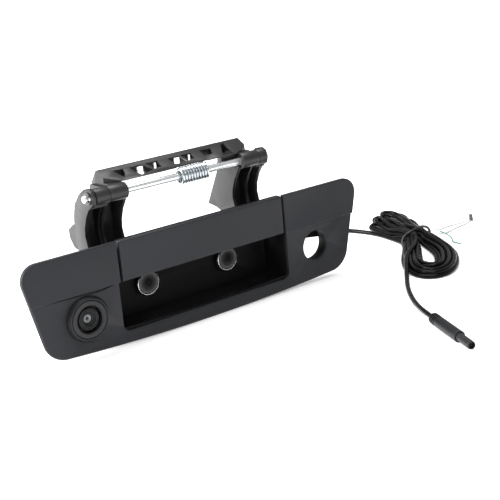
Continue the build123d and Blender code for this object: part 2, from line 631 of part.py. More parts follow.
def hank_point(along, across):
    """A floor point of the hank: along its axis from the tie, and across to the right."""
    ax, ay = HANK_AXIS
    return (HANK_TIE[0] + ax * along - ay * across, HANK_TIE[1] + ay * along + ax * across)


def hank_hull(*spots):
    """The floor outline round a few circles, each given by its place along, across and its radius."""
    circles = Sketch()
    for along, across, radius in spots:
        circles += Pos(*hank_point(along, across)) * Circle(radius)
    return make_hull(circles.edges())


def cable_hank():
    """The outer shape of the tied hank: a wide near end, a waist at the tie and a fanned far end."""
    near = hank_hull((100, 0, 21), (42, 7, 23.5), (4, 0, 14.5))
    far = hank_hull((4, 0, 14.5), (-34, -27, 9), (-80, -27, 9), (-104, -18, 8), (-98, -10, 8), (-62, 3, 8))
    body = extrude(near + far, HANK_HEIGHT)
    body = fillet(body.edges().group_by(Axis.Z)[-1], 3)
    return Pos(0, 0, FLOOR_Z + FLOOR_LIFT) * body


def hank_tie(hank):
    """A soft wire tie round the hank's waist."""
    angle = math.degrees(math.atan2(HANK_AXIS[1], HANK_AXIS[0]))
    strip = Pos(*HANK_TIE, 0) * Rot(0, 0, angle + 8) * Box(3.0, 60, 60)
    grown = extrude(hank_hull((-10, 0, 17.5), (12, 0, 17.5)), HANK_HEIGHT + 1.2)
    return (Pos(0, 0, FLOOR_Z + FLOOR_LIFT) * grown - hank) & strip


def plug_turned(points):
    """A body of revolution about the plug's axis, from radius and distance pairs."""
    (ax, ay), (bx, by) = PLUG_START, PLUG_TIP
    frame = Plane(origin=(ax, ay, FLOOR_Z + PLUG_R), x_dir=(0, 0, 1), z_dir=(bx - ax, by - ay, 0))
    spun = revolve(Plane.XZ * make_face(Polyline(*points, close=True)), Axis.Z)
    return frame.location * spun


def plug_parts():
    relief = plug_turned([(0, 0), (3.0, 0), (4.3, 1.2), (4.3, 3.0), (3.3, 3.2), (3.3, 4.4), (4.4, 4.6), (4.4, 6.2), (3.3, 6.4),
                          (3.3, 7.6), (4.4, 7.8), (4.4, 9.4), (3.5, 9.6), (3.5, 10.6), (0, 10.6)])
    body = plug_turned([(0, 10.6), (4.4, 10.6), (PLUG_R, 11.2), (PLUG_R, 40.0), (4.3, 41.0), (4.3, 42.5), (4.5, 42.8),
                        (4.5, 45.0), (3.9, 45.6), (0, 45.6)])
    shell = plug_turned([(2.4, 45.6), (3.2, 45.6), (3.2, 63.0), (2.9, 64.3), (2.4, 64.3)])
    core = plug_turned([(0, 45.6), (2.35, 45.6), (2.35, 58.0), (0, 58.0)])
    pins = []
    for quarter in range(4):
        turn = math.radians(45 + 90 * quarter)
        pin = plug_turned([(0, 58.0), (0.35, 58.0), (0.35, 62.5), (0, 62.5)])
        (ax, ay), (bx, by) = PLUG_START, PLUG_TIP
        span = math.hypot(bx - ax, by - ay)
        pins.append(Pos(1.2 * math.cos(turn) * (by - ay) / span, -1.2 * math.cos(turn) * (bx - ax) / span,
                        1.2 * math.sin(turn)) * pin)
    return {"plug_relief": relief, "plug_body": body, "plug_shell": shell, "plug_core": core,
            "plug_pins": Compound(children=pins)}


def wire_terminal():
    """The small sleeve over the two power wires' ends."""
    terminal = Pos(335.4, 24.4, FLOOR_Z + 1.95) * Rot(0, 0, 44) * Box(13, 3.4, 3.8)
    return fillet(terminal.edges().filter_by(Axis.Z), 0.8)


def main():
    os.makedirs("parts", exist_ok=True)
    bezel = front_bezel()
    save(bezel, "front_bezel")
    save(finger_pocket(bezel), "finger_pocket")
    save(stop_bumpers(), "stop_bumpers")
    save(handle_paddle(), "handle_paddle")
    save(lever_frame(), "lever_frame")
    save(rod_bushings(), "rod_bushings")
    save(paddle_screws(), "paddle_screws")
    for name, side in SIDES.items():
        save(hinge_bracket(side), f"hinge_bracket_{name}")
    save(bracket_screws(), "bracket_screws")
    save(pivot_rod(), "pivot_rod")
    save(rod_clip(), "rod_clip")
    save(Compound(children=return_spring()), "return_spring")
    save(mounting_studs(), "mounting_studs")
    save(stud_washers(), "stud_washers")
    save(camera_trim_ring(), "camera_trim_ring")
    save(camera_housing(), "camera_housing")
    save(lens_barrel(), "lens_barrel")
    save(lens_front_glass(), "lens_front_glass")
    save(lens_seal(), "lens_seal")
    for name, piece in inner_camera_parts().items():
        save(piece, name)
    save(camera_yoke(), "camera_yoke")
    yoke_back = SHOULDER_Y + 2
    save(Compound(children=[screw_y(CAM_X + side * YOKE_SCREW_DX, CAM_Z, yoke_back, 10, 1.2, 2.4, 1.8)
                            for side in SIDES.values()]), "camera_screws")
    save(camera_cover(), "camera_cover")
    cover_back = HOUSING_BACK_Y + COVER_THICK
    save(Compound(children=[screw_y(CAM_X + dx * COVER_SCREW_D, CAM_Z + dz * COVER_SCREW_D, cover_back, 8, 0.8, 1.7, 1.0)
                            for dx, dz in CORNERS]), "cover_screws")
    save(cable_gland(), "cable_gland")
    hank = cable_hank()
    save(routed(LEAD_ROUTE, CABLE_R, "lead"), "cable_lead")
    save(hank, "cable_hank")
    save(hank_tie(hank), "hank_tie")
    save(routed(TAIL_ROUTE, CABLE_R, "tail"), "cable_tail")
    for name, piece in plug_parts().items():
        save(piece, name)
    for name, route in {"power_wire_white": WHITE_WIRE, "power_wire_grey": GREY_WIRE, "trigger_wire": GREEN_WIRE}.items():
        save(routed(route, WIRE_R, name), name)
    save(wire_terminal(), "wire_terminal")


main()
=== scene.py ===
"""Looks of a tailgate handle with a backup camera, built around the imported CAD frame.

Lengths in the tables below are millimetres in the drawing frame: front face at y = 0, heights from the floor.
row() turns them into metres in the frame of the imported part.
"""
import json
import math

import bmesh
import bpy
import numpy as np
from mathutils import Matrix, Vector


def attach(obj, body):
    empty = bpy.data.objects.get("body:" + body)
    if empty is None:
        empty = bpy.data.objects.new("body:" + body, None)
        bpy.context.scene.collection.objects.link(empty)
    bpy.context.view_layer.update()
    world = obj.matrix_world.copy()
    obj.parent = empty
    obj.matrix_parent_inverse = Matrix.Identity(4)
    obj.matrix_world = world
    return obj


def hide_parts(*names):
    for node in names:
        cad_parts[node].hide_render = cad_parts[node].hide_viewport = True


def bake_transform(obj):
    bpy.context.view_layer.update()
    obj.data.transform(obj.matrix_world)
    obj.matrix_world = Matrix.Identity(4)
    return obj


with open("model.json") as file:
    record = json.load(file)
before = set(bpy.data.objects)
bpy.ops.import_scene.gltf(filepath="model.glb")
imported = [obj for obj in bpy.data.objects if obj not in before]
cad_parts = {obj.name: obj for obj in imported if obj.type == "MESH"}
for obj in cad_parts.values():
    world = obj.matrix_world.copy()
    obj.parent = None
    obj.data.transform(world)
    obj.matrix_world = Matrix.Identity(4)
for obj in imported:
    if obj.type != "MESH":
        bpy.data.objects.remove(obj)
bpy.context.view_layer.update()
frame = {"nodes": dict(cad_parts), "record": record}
NODES = frame["nodes"]
FIXED, LEVER = "fixed", "lever"
MM = 0.001
FRONT_Y = 33.95
CABLE_R = 2.0
LOW = CABLE_R + 0.05


def row(x, y, z):
    return Vector((x * MM, (y - FRONT_Y) * MM, z * MM))


# ---- camera ----
def add_camera():
    data = bpy.data.cameras.new("camera")
    data.sensor_width, data.lens = 36.0, 82.98
    cam = bpy.data.objects.new("camera", data)
    bpy.context.scene.collection.objects.link(cam)
    ahead = Vector((0.57096582, 0.77028023, -0.2840183))
    right = Vector((0.78497545, -0.61353972, -0.08592178))
    turn = Matrix((right, right.cross(ahead), -ahead)).transposed()
    cam.matrix_world = Matrix.Translation(row(-496.31, -726.76, 314.46)) @ turn.to_4x4()
    bpy.context.scene.camera = cam


add_camera()


# ---- shader helpers ----
def new_material(name):
    mat = bpy.data.materials.new(name)
    mat.use_nodes = True
    return mat, mat.node_tree, mat.node_tree.nodes["Principled BSDF"]


def add(tree, kind, **inputs):
    node = tree.nodes.new(kind)
    for key, value in inputs.items():
        node.inputs[key.replace("_", " ")].default_value = value
    return node


def noise(tree, scale, detail=3.0, rough=0.55, stretch=None):
    """A noise texture in object space, so its grain has a real size whatever the mesh."""
    coords = tree.nodes.new("ShaderNodeTexCoord")
    tex = add(tree, "ShaderNodeTexNoise", Scale=scale, Detail=detail, Roughness=rough)
    if stretch:
        mapping = tree.nodes.new("ShaderNodeMapping")
        mapping.inputs["Scale"].default_value = stretch
        tree.links.new(coords.outputs["Object"], mapping.inputs["Vector"])
        tree.links.new(mapping.outputs["Vector"], tex.inputs["Vector"])
    else:
        tree.links.new(coords.outputs["Object"], tex.inputs["Vector"])
    return tex


def ramp(tree, source, stops):
    node = tree.nodes.new("ShaderNodeValToRGB")
    elements = node.color_ramp.elements
    while len(elements) < len(stops):
        elements.new(0.5)
    for element, (place, value) in zip(elements, stops):
        element.position = place
        element.color = value if isinstance(value, tuple) else (value, value, value, 1)
    tree.links.new(source, node.inputs["Fac"])
    return node.outputs["Color"]


def mix(tree, factor, a, b, blend="MIX"):
    node = tree.nodes.new("ShaderNodeMix")
    node.data_type, node.blend_type = "RGBA", blend
    for socket, value in ((node.inputs[0], factor), (node.inputs[6], a), (node.inputs[7], b)):
        if isinstance(value, bpy.types.NodeSocket):
            tree.links.new(value, socket)
        else:
            socket.default_value = value
    return node.outputs[2]


def bumps(tree, shader, layers):
    """Stacks bump layers, each a height socket, a depth in metres and a strength."""
    last = None
    for height, depth, strength in layers:
        bump = add(tree, "ShaderNodeBump", Strength=strength, Distance=depth)
        tree.links.new(height, bump.inputs["Height"])
        if last:
            tree.links.new(last, bump.inputs["Normal"])
        last = bump.outputs["Normal"]
    tree.links.new(last, shader.inputs["Normal"])


def edge_mask(tree, low, high):
    """Bright on convex edges, from the mesh's own curvature."""
    geometry = tree.nodes.new("ShaderNodeNewGeometry")
    return ramp(tree, geometry.outputs["Pointiness"], [(low, 0.0), (high, 1.0)])


def grey(value, tint=(1.0, 1.0, 1.0)):
    return (value * tint[0], value * tint[1], value * tint[2], 1.0)


# ---- materials ----
def depth_mask(tree, start, end):
    """0 at the moulding's face, 1 from a few millimetres behind it; it places the painted shade of the recesses."""
    coords = tree.nodes.new("ShaderNodeTexCoord")
    split = tree.nodes.new("ShaderNodeSeparateXYZ")
    tree.links.new(coords.outputs["Object"], split.inputs["Vector"])
    node = tree.nodes.new("ShaderNodeMapRange")
    node.interpolation_type = "SMOOTHSTEP"
    node.inputs["From Min"].default_value = (start - FRONT_Y) * MM
    node.inputs["From Max"].default_value = (end - FRONT_Y) * MM
    tree.links.new(split.outputs["Y"], node.inputs["Value"])
    return node.outputs["Result"]


def moulded_plastic(name, colour, rough, grain=2600.0, depth=0.00006, strength=0.5, worn=0.012, level=0.25,
                    recess_shade=None):
    """Spark-eroded moulded plastic: a fine even grain, slow colour drift, edges rubbed a little brighter.

    The last argument is painted shade: the darker colour given to surfaces more than a few millimetres behind the
    face, where the pocket's inside lies in shade, with a weaker specular there; the grain goes on over them."""
    mat, tree, shader = new_material(name)
    slow = noise(tree, 26.0, 4.0)
    fine = noise(tree, grain, 2.0, 0.6)
    pits = tree.nodes.new("ShaderNodeTexVoronoi")
    pits.inputs["Scale"].default_value = grain * 0.62
    coords = tree.nodes.new("ShaderNodeTexCoord")
    tree.links.new(coords.outputs["Object"], pits.inputs["Vector"])
    shade = ramp(tree, slow.outputs["Fac"], [(0.3, tuple(c * 0.9 for c in colour[:3]) + (1.0,)),
                                             (0.7, tuple(c * 1.1 for c in colour[:3]) + (1.0,))])
    speck = ramp(tree, fine.outputs["Fac"], [(0.42, 0.93), (0.62, 1.07)])
    shade = mix(tree, 1.0, shade, speck, "MULTIPLY")
    edges = edge_mask(tree, 0.52, 0.62)
    lighter = tuple(min(1.0, c + worn) for c in colour[:3]) + (1.0,)
    shade = mix(tree, edges, shade, lighter)
    # Painted shade: surfaces a few millimetres behind the face blend to a much darker colour and a weaker specular,
    # standing in for the shade inside the pocket.
    if recess_shade:
        behind = depth_mask(tree, 1.2, 6.0)
        shade = mix(tree, behind, shade, recess_shade)
        tree.links.new(ramp(tree, behind, [(0.0, level), (1.0, 0.09)]), shader.inputs["Specular IOR Level"])
    tree.links.new(shade, shader.inputs["Base Color"])
    tree.links.new(ramp(tree, slow.outputs["Fac"], [(0.3, rough - 0.05), (0.7, rough + 0.05)]),
                   shader.inputs["Roughness"])
    shader.inputs["Specular IOR Level"].default_value = level
    bumps(tree, shader, [(slow.outputs["Fac"], 0.0004, 0.05), (pits.outputs["Distance"], depth, strength * 0.6),
                         (fine.outputs["Fac"], depth, strength)])
    return mat


def plated_steel(name, colour, rough, stretch, metallic=1.0, relief=1.0):
    """Zinc-plated wire or bar: fine drawing lines along one axis and a faint cloudiness."""
    mat, tree, shader = new_material(name)
    lines = noise(tree, 900.0, 4.0, 0.6, stretch)
    cloud = noise(tree, 140.0, 4.0, 0.6)
    base = ramp(tree, cloud.outputs["Fac"], [(0.3, tuple(c * 0.88 for c in colour[:3]) + (1.0,)), (0.7, colour)])
    tree.links.new(base, shader.inputs["Base Color"])
    tree.links.new(ramp(tree, lines.outputs["Fac"], [(0.3, rough - 0.07), (0.7, rough + 0.09)]),
                   shader.inputs["Roughness"])
    shader.inputs["Metallic"].default_value = metallic
    bumps(tree, shader, [(lines.outputs["Fac"], 0.00003 * relief, 0.25),
                         (cloud.outputs["Fac"], 0.00005 * relief, 0.12)])
    return mat


def cable_rubber(name, colour, rough=0.36, level=0.5):
    """Extruded soft jacket: slight waviness, faint scuffs and a satin skin."""
    mat, tree, shader = new_material(name)
    slow = noise(tree, 90.0, 4.0)
    fine = noise(tree, 1800.0, 3.0, 0.6)
    base = ramp(tree, slow.outputs["Fac"], [(0.3, tuple(c * 0.82 for c in colour[:3]) + (1.0,)),
                                            (0.72, tuple(c * 1.25 for c in colour[:3]) + (1.0,))])
    tree.links.new(base, shader.inputs["Base Color"])
    tree.links.new(ramp(tree, slow.outputs["Fac"], [(0.3, rough - 0.07), (0.7, rough + 0.1)]),
                   shader.inputs["Roughness"])
    shader.inputs["Specular IOR Level"].default_value = level
    bumps(tree, shader, [(slow.outputs["Fac"], 0.0006, 0.12), (fine.outputs["Fac"], 0.00004, 0.35)])
    return mat


def coated_glass():
    mat, tree, shader = new_material("lens_coated_glass")
    layer = add(tree, "ShaderNodeLayerWeight", Blend=0.45)
    # Painted reflection: the glass colour turns lighter and bluer towards grazing edges, standing in for the coating's
    # reflection.
    tint = ramp(tree, layer.outputs["Facing"], [(0.0, (0.010, 0.012, 0.020, 1)), (0.45, (0.020, 0.016, 0.050, 1)),
                                                (0.85, (0.05, 0.09, 0.11, 1))])
    tree.links.new(tint, shader.inputs["Base Color"])
    shader.inputs["Roughness"].default_value = 0.06
    shader.inputs["IOR"].default_value = 1.4
    dust = noise(tree, 2200.0, 2.0)
    bumps(tree, shader, [(dust.outputs["Fac"], 0.000008, 0.1)])
    return mat


def plain_detail(name, colour, rough, scale=900.0, metallic=0.0, depth=0.00004):
    mat, tree, shader = new_material(name)
    tex = noise(tree, scale, 3.0)
    base = ramp(tree, tex.outputs["Fac"], [(0.3, tuple(c * 0.85 for c in colour[:3]) + (1.0,)),
                                           (0.7, tuple(min(1, c * 1.12) for c in colour[:3]) + (1.0,))])
    tree.links.new(base, shader.inputs["Base Color"])
    tree.links.new(ramp(tree, tex.outputs["Fac"], [(0.3, rough - 0.05), (0.7, rough + 0.06)]),
                   shader.inputs["Roughness"])
    shader.inputs["Metallic"].default_value = metallic
    bumps(tree, shader, [(tex.outputs["Fac"], depth, 0.3)])
    return mat


MATS = {
    # The face plastic carries painted shade in its recesses: near black from a few millimetres behind the front.
    "face": moulded_plastic("face_plastic", grey(0.019, (0.92, 0.96, 1.14)), 0.5, level=0.2, recess_shade=grey(0.0035)),
    "frame": moulded_plastic("frame_plastic", grey(0.013, (1.0, 1.0, 1.02)), 0.38, grain=3400.0, depth=0.00004,
                             level=0.4),
    "camera": moulded_plastic("camera_plastic", grey(0.013, (0.95, 0.99, 1.08)), 0.42, grain=4200.0, depth=0.00002,
                               strength=0.3),
    "rubber": moulded_plastic("soft_rubber", grey(0.008), 0.7, grain=3000.0),
    "screw": plated_steel("dark_screw", grey(0.10), 0.42, (1, 1, 1)),
    "zinc_x": plated_steel("zinc_rod", grey(0.86, (0.97, 1.0, 1.01)), 0.24, (0.03, 1, 1), 0.8, relief=0.15),
    "zinc": plated_steel("zinc_spring", grey(0.55, (0.92, 1.0, 1.05)), 0.25, (1, 1, 1), 0.95, relief=0.4),
    "stud": plated_steel("stud_black_zinc", grey(0.02, (1.0, 1.02, 1.05)), 0.22, (1, 1, 1), 0.3, relief=0.3),
    # Bright metal for the rings that show as a painted highlight crescent under the stud heads.
    "stud_rim": plated_steel("stud_rim_painted_highlight", grey(0.75, (0.98, 1.0, 1.03)), 0.25, (1, 1, 1), relief=0.3),
    "lens_ring": plain_detail("lens_retaining_ring", grey(0.16), 0.3, 1500.0),
    "glass": coated_glass(),
    "dark": plain_detail("blackened", grey(0.006), 0.7),
    "board": plain_detail("board_green", (0.015, 0.10, 0.04, 1), 0.45),
    "die": plain_detail("sensor_die", (0.05, 0.04, 0.08, 1), 0.2),
    "cable": cable_rubber("cable_jacket", grey(0.003), 0.26, 0.10),
    "tie": cable_rubber("tie_coat", grey(0.005), 0.34),
    "plug": moulded_plastic("plug_plastic", grey(0.006, (0.90, 0.99, 1.2)), 0.42, grain=2800.0, depth=0.00004),
    "white_wire": cable_rubber("white_wire", grey(0.45), 0.4),
    "grey_wire": cable_rubber("grey_wire", (0.42, 0.40, 0.43, 1), 0.4),
    "green_wire": cable_rubber("green_wire", (0.05, 0.23, 0.18, 1), 0.4),
    "terminal": plain_detail("terminal_sleeve", (0.055, 0.052, 0.055, 1), 0.4),
}

NODE_MATS = {
    "front_bezel": "face", "finger_pocket": "face", "handle_paddle": "face", "stop_bumpers": "rubber",
    "lever_frame": "frame",
    "hinge_bracket_left": "frame", "hinge_bracket_right": "frame", "rod_bushings": "frame", "paddle_screws": "screw",
    "bracket_screws": "screw", "camera_screws": "screw", "cover_screws": "screw", "pivot_rod": "zinc_x",
    "rod_clip": "screw", "return_spring": "zinc", "mounting_studs": "stud", "stud_washers": "zinc",
    "camera_trim_ring": "camera", "camera_housing": "camera", "camera_cover": "camera", "lens_barrel": "camera",
    "lens_front_glass": "glass", "lens_rear_glass": "glass", "lens_seal": "rubber", "lens_aperture": "dark",
    "camera_board": "board", "image_sensor": "die", "camera_yoke": "zinc", "cable_gland": "rubber",
    "cable_lead": "cable", "cable_hank": "cable", "cable_tail": "cable", "hank_tie": "tie", "plug_relief": "plug",
    "plug_body": "plug", "plug_shell": "plug", "plug_core": "dark", "plug_pins": "screw",
    "power_wire_white": "white_wire", "power_wire_grey": "grey_wire", "trigger_wire": "green_wire",
    "wire_terminal": "terminal",
}
SLOTS = {s["node"]: s["material_slot"] for s in frame["record"]["subparts"]}


def paint(obj, key):
    slots = obj.material_slots
    if len(slots):
        for one in slots:
            one.material = MATS[key]
    else:
        obj.data.materials.append(MATS[key])


for node, key in NODE_MATS.items():
    paint(NODES[node], key)


# ---- softened edges ----
SOFT_NODES = ("front_bezel", "handle_paddle", "lever_frame", "hinge_bracket_left", "hinge_bracket_right",
              "finger_pocket", "pivot_rod")
EDGE_R = 0.45


def soften(obj):
    """Gives a CAD node the small radius that a mould leaves on its sharp edges."""
    weld = obj.modifiers.new("weld", "WELD")
    weld.merge_threshold = 1e-6
    bevel = obj.modifiers.new("bevel", "BEVEL")
    bevel.width, bevel.segments = EDGE_R * MM, 2
    bevel.limit_method, bevel.angle_limit = "ANGLE", math.radians(38)
    bevel.harden_normals = True
    obj.data.shade_smooth()


for node in SOFT_NODES:
    soften(NODES[node])


# ---- turned and wound details ----
def mesh_piece(name, verts, faces, key, replaced, slot_name, rigid=True):
    mesh = bpy.data.meshes.new(name)
    mesh.from_pydata([tuple(v) for v in verts], [], faces)
    mesh.shade_smooth()
    obj = bpy.data.objects.new(name, mesh)
    bpy.context.scene.collection.objects.link(obj)
    mesh.materials.append(MATS[key])
    if rigid:
        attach(obj, FIXED)
    if replaced:
        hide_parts(*replaced)
    return obj


def lathe(profile, centre, steps=96):
    """A closed ring of (radius, y) points turned about the y axis through centre (x, z)."""
    verts, faces = [], []
    count = len(profile)
    for k in range(steps):
        a = 2 * math.pi * k / steps
        verts += [row(centre[0] + r * math.cos(a), y, centre[1] + r * math.sin(a)) for r, y in profile]
    for k in range(steps):
        n = (k + 1) % steps
        for i in range(count):
            j = (i + 1) % count
            faces.append((k * count + i, k * count + j, n * count + j, n * count + i))
    return verts, faces


def rounded(profile, cut=0.18):
    """Cuts each corner of a closed profile twice, so a turned ring has soft edges."""
    for share in (cut, cut):
        fresh = []
        for i, (r, y) in enumerate(profile):
            for other in (profile[i - 1], profile[(i + 1) % len(profile)]):
                reach = math.hypot(other[0] - r, other[1] - y)
                step = min(share, 0.3 * reach) / max(reach, 1e-6)
                fresh.append((r + (other[0] - r) * step, y + (other[1] - y) * step))
        profile = fresh
    return profile


PLUG_START, PLUG_AHEAD = (100.8, -146.4, 4.5), (-0.37298, -0.92783)
PLUG_RELIEF = [(0.0, 0.0), (2.9, 0.0), (3.9, 0.9), (4.5, 1.3), (4.5, 2.9), (2.7, 3.1), (2.7, 4.5), (4.5, 4.7),
               (4.5, 6.1),
               (2.7, 6.3), (2.7, 7.7), (4.5, 7.9), (4.5, 9.3), (2.9, 9.5), (2.9, 10.62), (0.0, 10.62)]


def plug_turned(profile, steps=72):
    """A ring of (radius, distance) points turned about the plug's own axis."""
    verts, faces = [], []
    count = len(profile)
    ax, ay = PLUG_AHEAD
    for k in range(steps):
        a = 2 * math.pi * k / steps
        verts += [row(PLUG_START[0] + ax * d - ay * r * math.cos(a), PLUG_START[1] + ay * d + ax * r * math.cos(a),
                      PLUG_START[2] + r * math.sin(a)) for r, d in profile]
        n = (k + 1) % steps
        faces += [(k * count + i, k * count + (i + 1) % count, n * count + (i + 1) % count, n * count + i)
                  for i in range(count)]
    return verts, faces


relief = mesh_piece("plug_relief_grooved", *plug_turned(rounded(PLUG_RELIEF, 0.12)), "plug", ["plug_relief"],
                    SLOTS["plug_relief"])
CAMERA = (-112.5, 31.5)
LENS_BARREL = [(9.0, 0.4), (8.6, -0.2), (8.3, -0.8), (7.6, -0.9), (7.3, -0.1), (6.9, -0.1), (6.7, -0.7),
               (5.9, -0.6), (5.7, 0.5),
               (5.3, 0.5), (5.1, 0.0), (4.6, 0.1), (4.3, 1.1), (3.6, 1.3), (3.4, 3.2), (3.4, 19.5), (9.0, 19.5)]
LENS_RING = [(3.3, 1.9), (2.9, 1.6), (1.3, 2.2), (1.2, 3.4), (3.3, 3.4)]
LENS_DOME = [(1.25, 2.7), (0.8, 2.45), (0.4, 2.35), (0.0, 2.32), (0.0, 4.6), (1.25, 4.6)]
mesh_piece("lens_barrel_turned", *lathe(rounded(LENS_BARREL), CAMERA), "camera", ["lens_barrel"], SLOTS["lens_barrel"])
mesh_piece("lens_retainer", *lathe(rounded(LENS_RING, 0.08), CAMERA), "lens_ring", [], SLOTS["lens_barrel"])
mesh_piece("lens_dome", *lathe(LENS_DOME, CAMERA, 48), "glass", ["lens_front_glass"], SLOTS["lens_front_glass"])


def stud_profile(head_r=10.5, face=28.5, back=31.5, shank=3.0, end=62.0):
    """A pan head with a soft rim, a neck, and a threaded shank."""
    profile = [(0.0, face), (head_r - 1.9, face), (head_r - 1.6, face), (head_r - 1.1, face + 0.05),
               (head_r - 0.8, face + 0.35),
               (head_r - 0.6, face + 0.9), (head_r - 0.6, back), (3.2, back), (3.2, 37.2)]
    y = 37.4
    while y < end - 1.0:
        profile += [(shank - 0.55, y), (shank, y + 0.45)]
        y += 0.9
    return profile + [(shank - 0.7, end), (0.0, end)]


STUD_XS, STUD_HEIGHT = (-39.7, 39.7), 34.6
# A bright metal ring set a little low behind each head, so that only its lower edge shows: a painted highlight
# crescent under each head.
STUD_RIM = [(8.6, 28.9), (9.8, 28.7), (10.1, 29.1), (10.1, 31.4), (8.6, 31.4)]
RIM_DROP = 0.45
stud_verts, stud_faces = [], []
for stud_x in STUD_XS:
    verts, faces = lathe(stud_profile(), (stud_x, STUD_HEIGHT), 64)
    start = len(stud_verts)
    stud_verts += verts
    stud_faces += [tuple(start + i for i in face) for face in faces]
rim_verts, rim_faces = [], []
for stud_x in STUD_XS:
    verts, faces = lathe(STUD_RIM, (stud_x, STUD_HEIGHT - RIM_DROP), 72)
    start = len(rim_verts)
    rim_verts += verts
    rim_faces += [tuple(start + i for i in face) for face in faces]
mesh_piece("stud_highlight_rims", rim_verts, rim_faces, "stud_rim", [], SLOTS["mounting_studs"])
mesh_piece("stud_pair", stud_verts, stud_faces, "stud", ["mounting_studs"], SLOTS["mounting_studs"])


def tube(path, radius, sides=10):
    """A round bar swept along a path, with closed ends."""
    verts, faces = [], []
    up = Vector((1, 0, 0))
    for i, place in enumerate(path):
        ahead = (path[min(i + 1, len(path) - 1)] - path[max(i - 1, 0)]).normalized()
        side = ahead.cross(up)
        side = side.normalized() if side.length > 0.05 else ahead.cross(Vector((0, 0, 1))).normalized()
        other = ahead.cross(side)
        for k in range(sides):
            a = 2 * math.pi * k / sides
            verts.append(place + (side * math.cos(a) + other * math.sin(a)) * radius)
        if i:
            base = (i - 1) * sides
            faces += [(base + k, base + (k + 1) % sides, base + sides + (k + 1) % sides, base + sides + k)
                      for k in range(sides)]
    faces.append(tuple(range(sides - 1, -1, -1)))
    faces.append(tuple(range(len(verts) - sides, len(verts))))
    return verts, faces


SPRING_LEFT, SPRING_COILS, SPRING_PITCH, SPRING_R = -5.0, 10, 2.65, 5.9
SPRING_Y, SPRING_HEIGHT = 21.3, 115.7


def spring_path(steps=28):
    """The leg in the rod, the coils, and the long leg back under the cross bar."""
    path = [row(SPRING_LEFT, SPRING_Y, SPRING_HEIGHT - 0.5)]
    count = SPRING_COILS * steps
    for k in range(count + 1):
        a = -math.pi / 2 + 2 * math.pi * (k + 0.5 * steps) * SPRING_COILS / count
        x = SPRING_LEFT + SPRING_COILS * SPRING_PITCH * k / count
        path.append(row(x, SPRING_Y + SPRING_R * math.cos(a), SPRING_HEIGHT + SPRING_R * math.sin(a)))
    right = SPRING_LEFT + SPRING_COILS * SPRING_PITCH
    path += [row(right, SPRING_Y + y, SPRING_HEIGHT + SPRING_R) for y in (1.5, 4.0, 11.0)]
    return path


spring = mesh_piece("wound_spring", *tube(spring_path(), 1.12 * MM), "zinc", ["return_spring"], SLOTS["return_spring"],
                    rigid=False)
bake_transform(spring)


# ---- cords ----
def nurbs(name, points, radius, resolution=6, sides=6):
    """One open spline through the route's points, as a round cord."""
    data = bpy.data.curves.new(name, "CURVE")
    data.dimensions = "3D"
    data.bevel_depth, data.bevel_resolution = radius, sides
    data.resolution_u, data.use_fill_caps = resolution, True
    spline = data.splines.new("NURBS")
    spline.points.add(len(points) - 1)
    for point, place in zip(spline.points, points):
        point.co = (*place, 1.0)
    spline.order_u, spline.use_endpoint_u = 3, True
    obj = bpy.data.objects.new(name, data)
    bpy.context.scene.collection.objects.link(obj)
    return obj


def spline_length(obj):
    """The length of a cord's centre line."""
    data = obj.data.copy()
    data.bevel_depth = 0.0
    line = bpy.data.objects.new("line", data)
    mesh = bpy.data.meshes.new_from_object(line)
    places = [v.co for v in mesh.vertices]
    length = sum((b - a).length for a, b in zip(places, places[1:]))
    bpy.data.objects.remove(line)
    bpy.data.meshes.remove(mesh)
    bpy.data.curves.remove(data)
    return length


LEAD_ROUTE = [
    (-112.5, 54, 31.5), (-112.0, 74, 30), (-107, 97, 15), (-92, 118, LOW), (-63, 131, LOW), (-24, 132, LOW),
    (24, 125, LOW), (76, 123, LOW), (126, 131, LOW), (172, 137, LOW), (208, 126, LOW), (231, 98, LOW),
    (241, 64, LOW), (236, 24, LOW),
]
TAIL_ROUTE = [
    (203, -19, 10.4), (193, -27, 9.2), (182.5, -37.5, 7.2), (171.5, -48.5, 4.6), (160, -60, 2.6), (147.5, -73, LOW),
    (134.5, -88.5, LOW), (122.5, -105.5, LOW), (113, -121, 3.2), (106, -133.4, 4.5), (100.8, -146.4, 4.5),
]
HANK_AXIS = (-0.616, -0.788)
HANK_TIE = (247.7, 11.9)
# Each turn of the hank: how far out it runs at the near end (0 to 1), its far tip along and across, and its layer.
HANK_TURNS = [
    (1.00, -114, -24, 0), (0.62, -88, -36, 0), (0.38, -112, -14, 0),
    (0.92, -84, -41, 1), (0.72, -106, -31, 1), (0.5, -88, -6, 1),
    (0.98, -94, -38, 2), (0.80, -118, -21, 2), (0.30, -102, -23, 2),
]
# The outline of a far loop: the share of the way to its tip, and how far to one side.
FAR_LOOP = [(0.30, 6.0), (0.62, 7.6), (0.86, 9.8), (1.0, 8.0), (1.0, -8.0), (0.86, -9.8), (0.62, -7.6), (0.30, -6.0)]
STEP = 5.0
MIN_BEND = 12.0
SMOOTHINGS = 2


def hank_place(along, across, height):
    ax, ay = HANK_AXIS
    return (HANK_TIE[0] + ax * along - ay * across, HANK_TIE[1] + ay * along + ax * across, height)


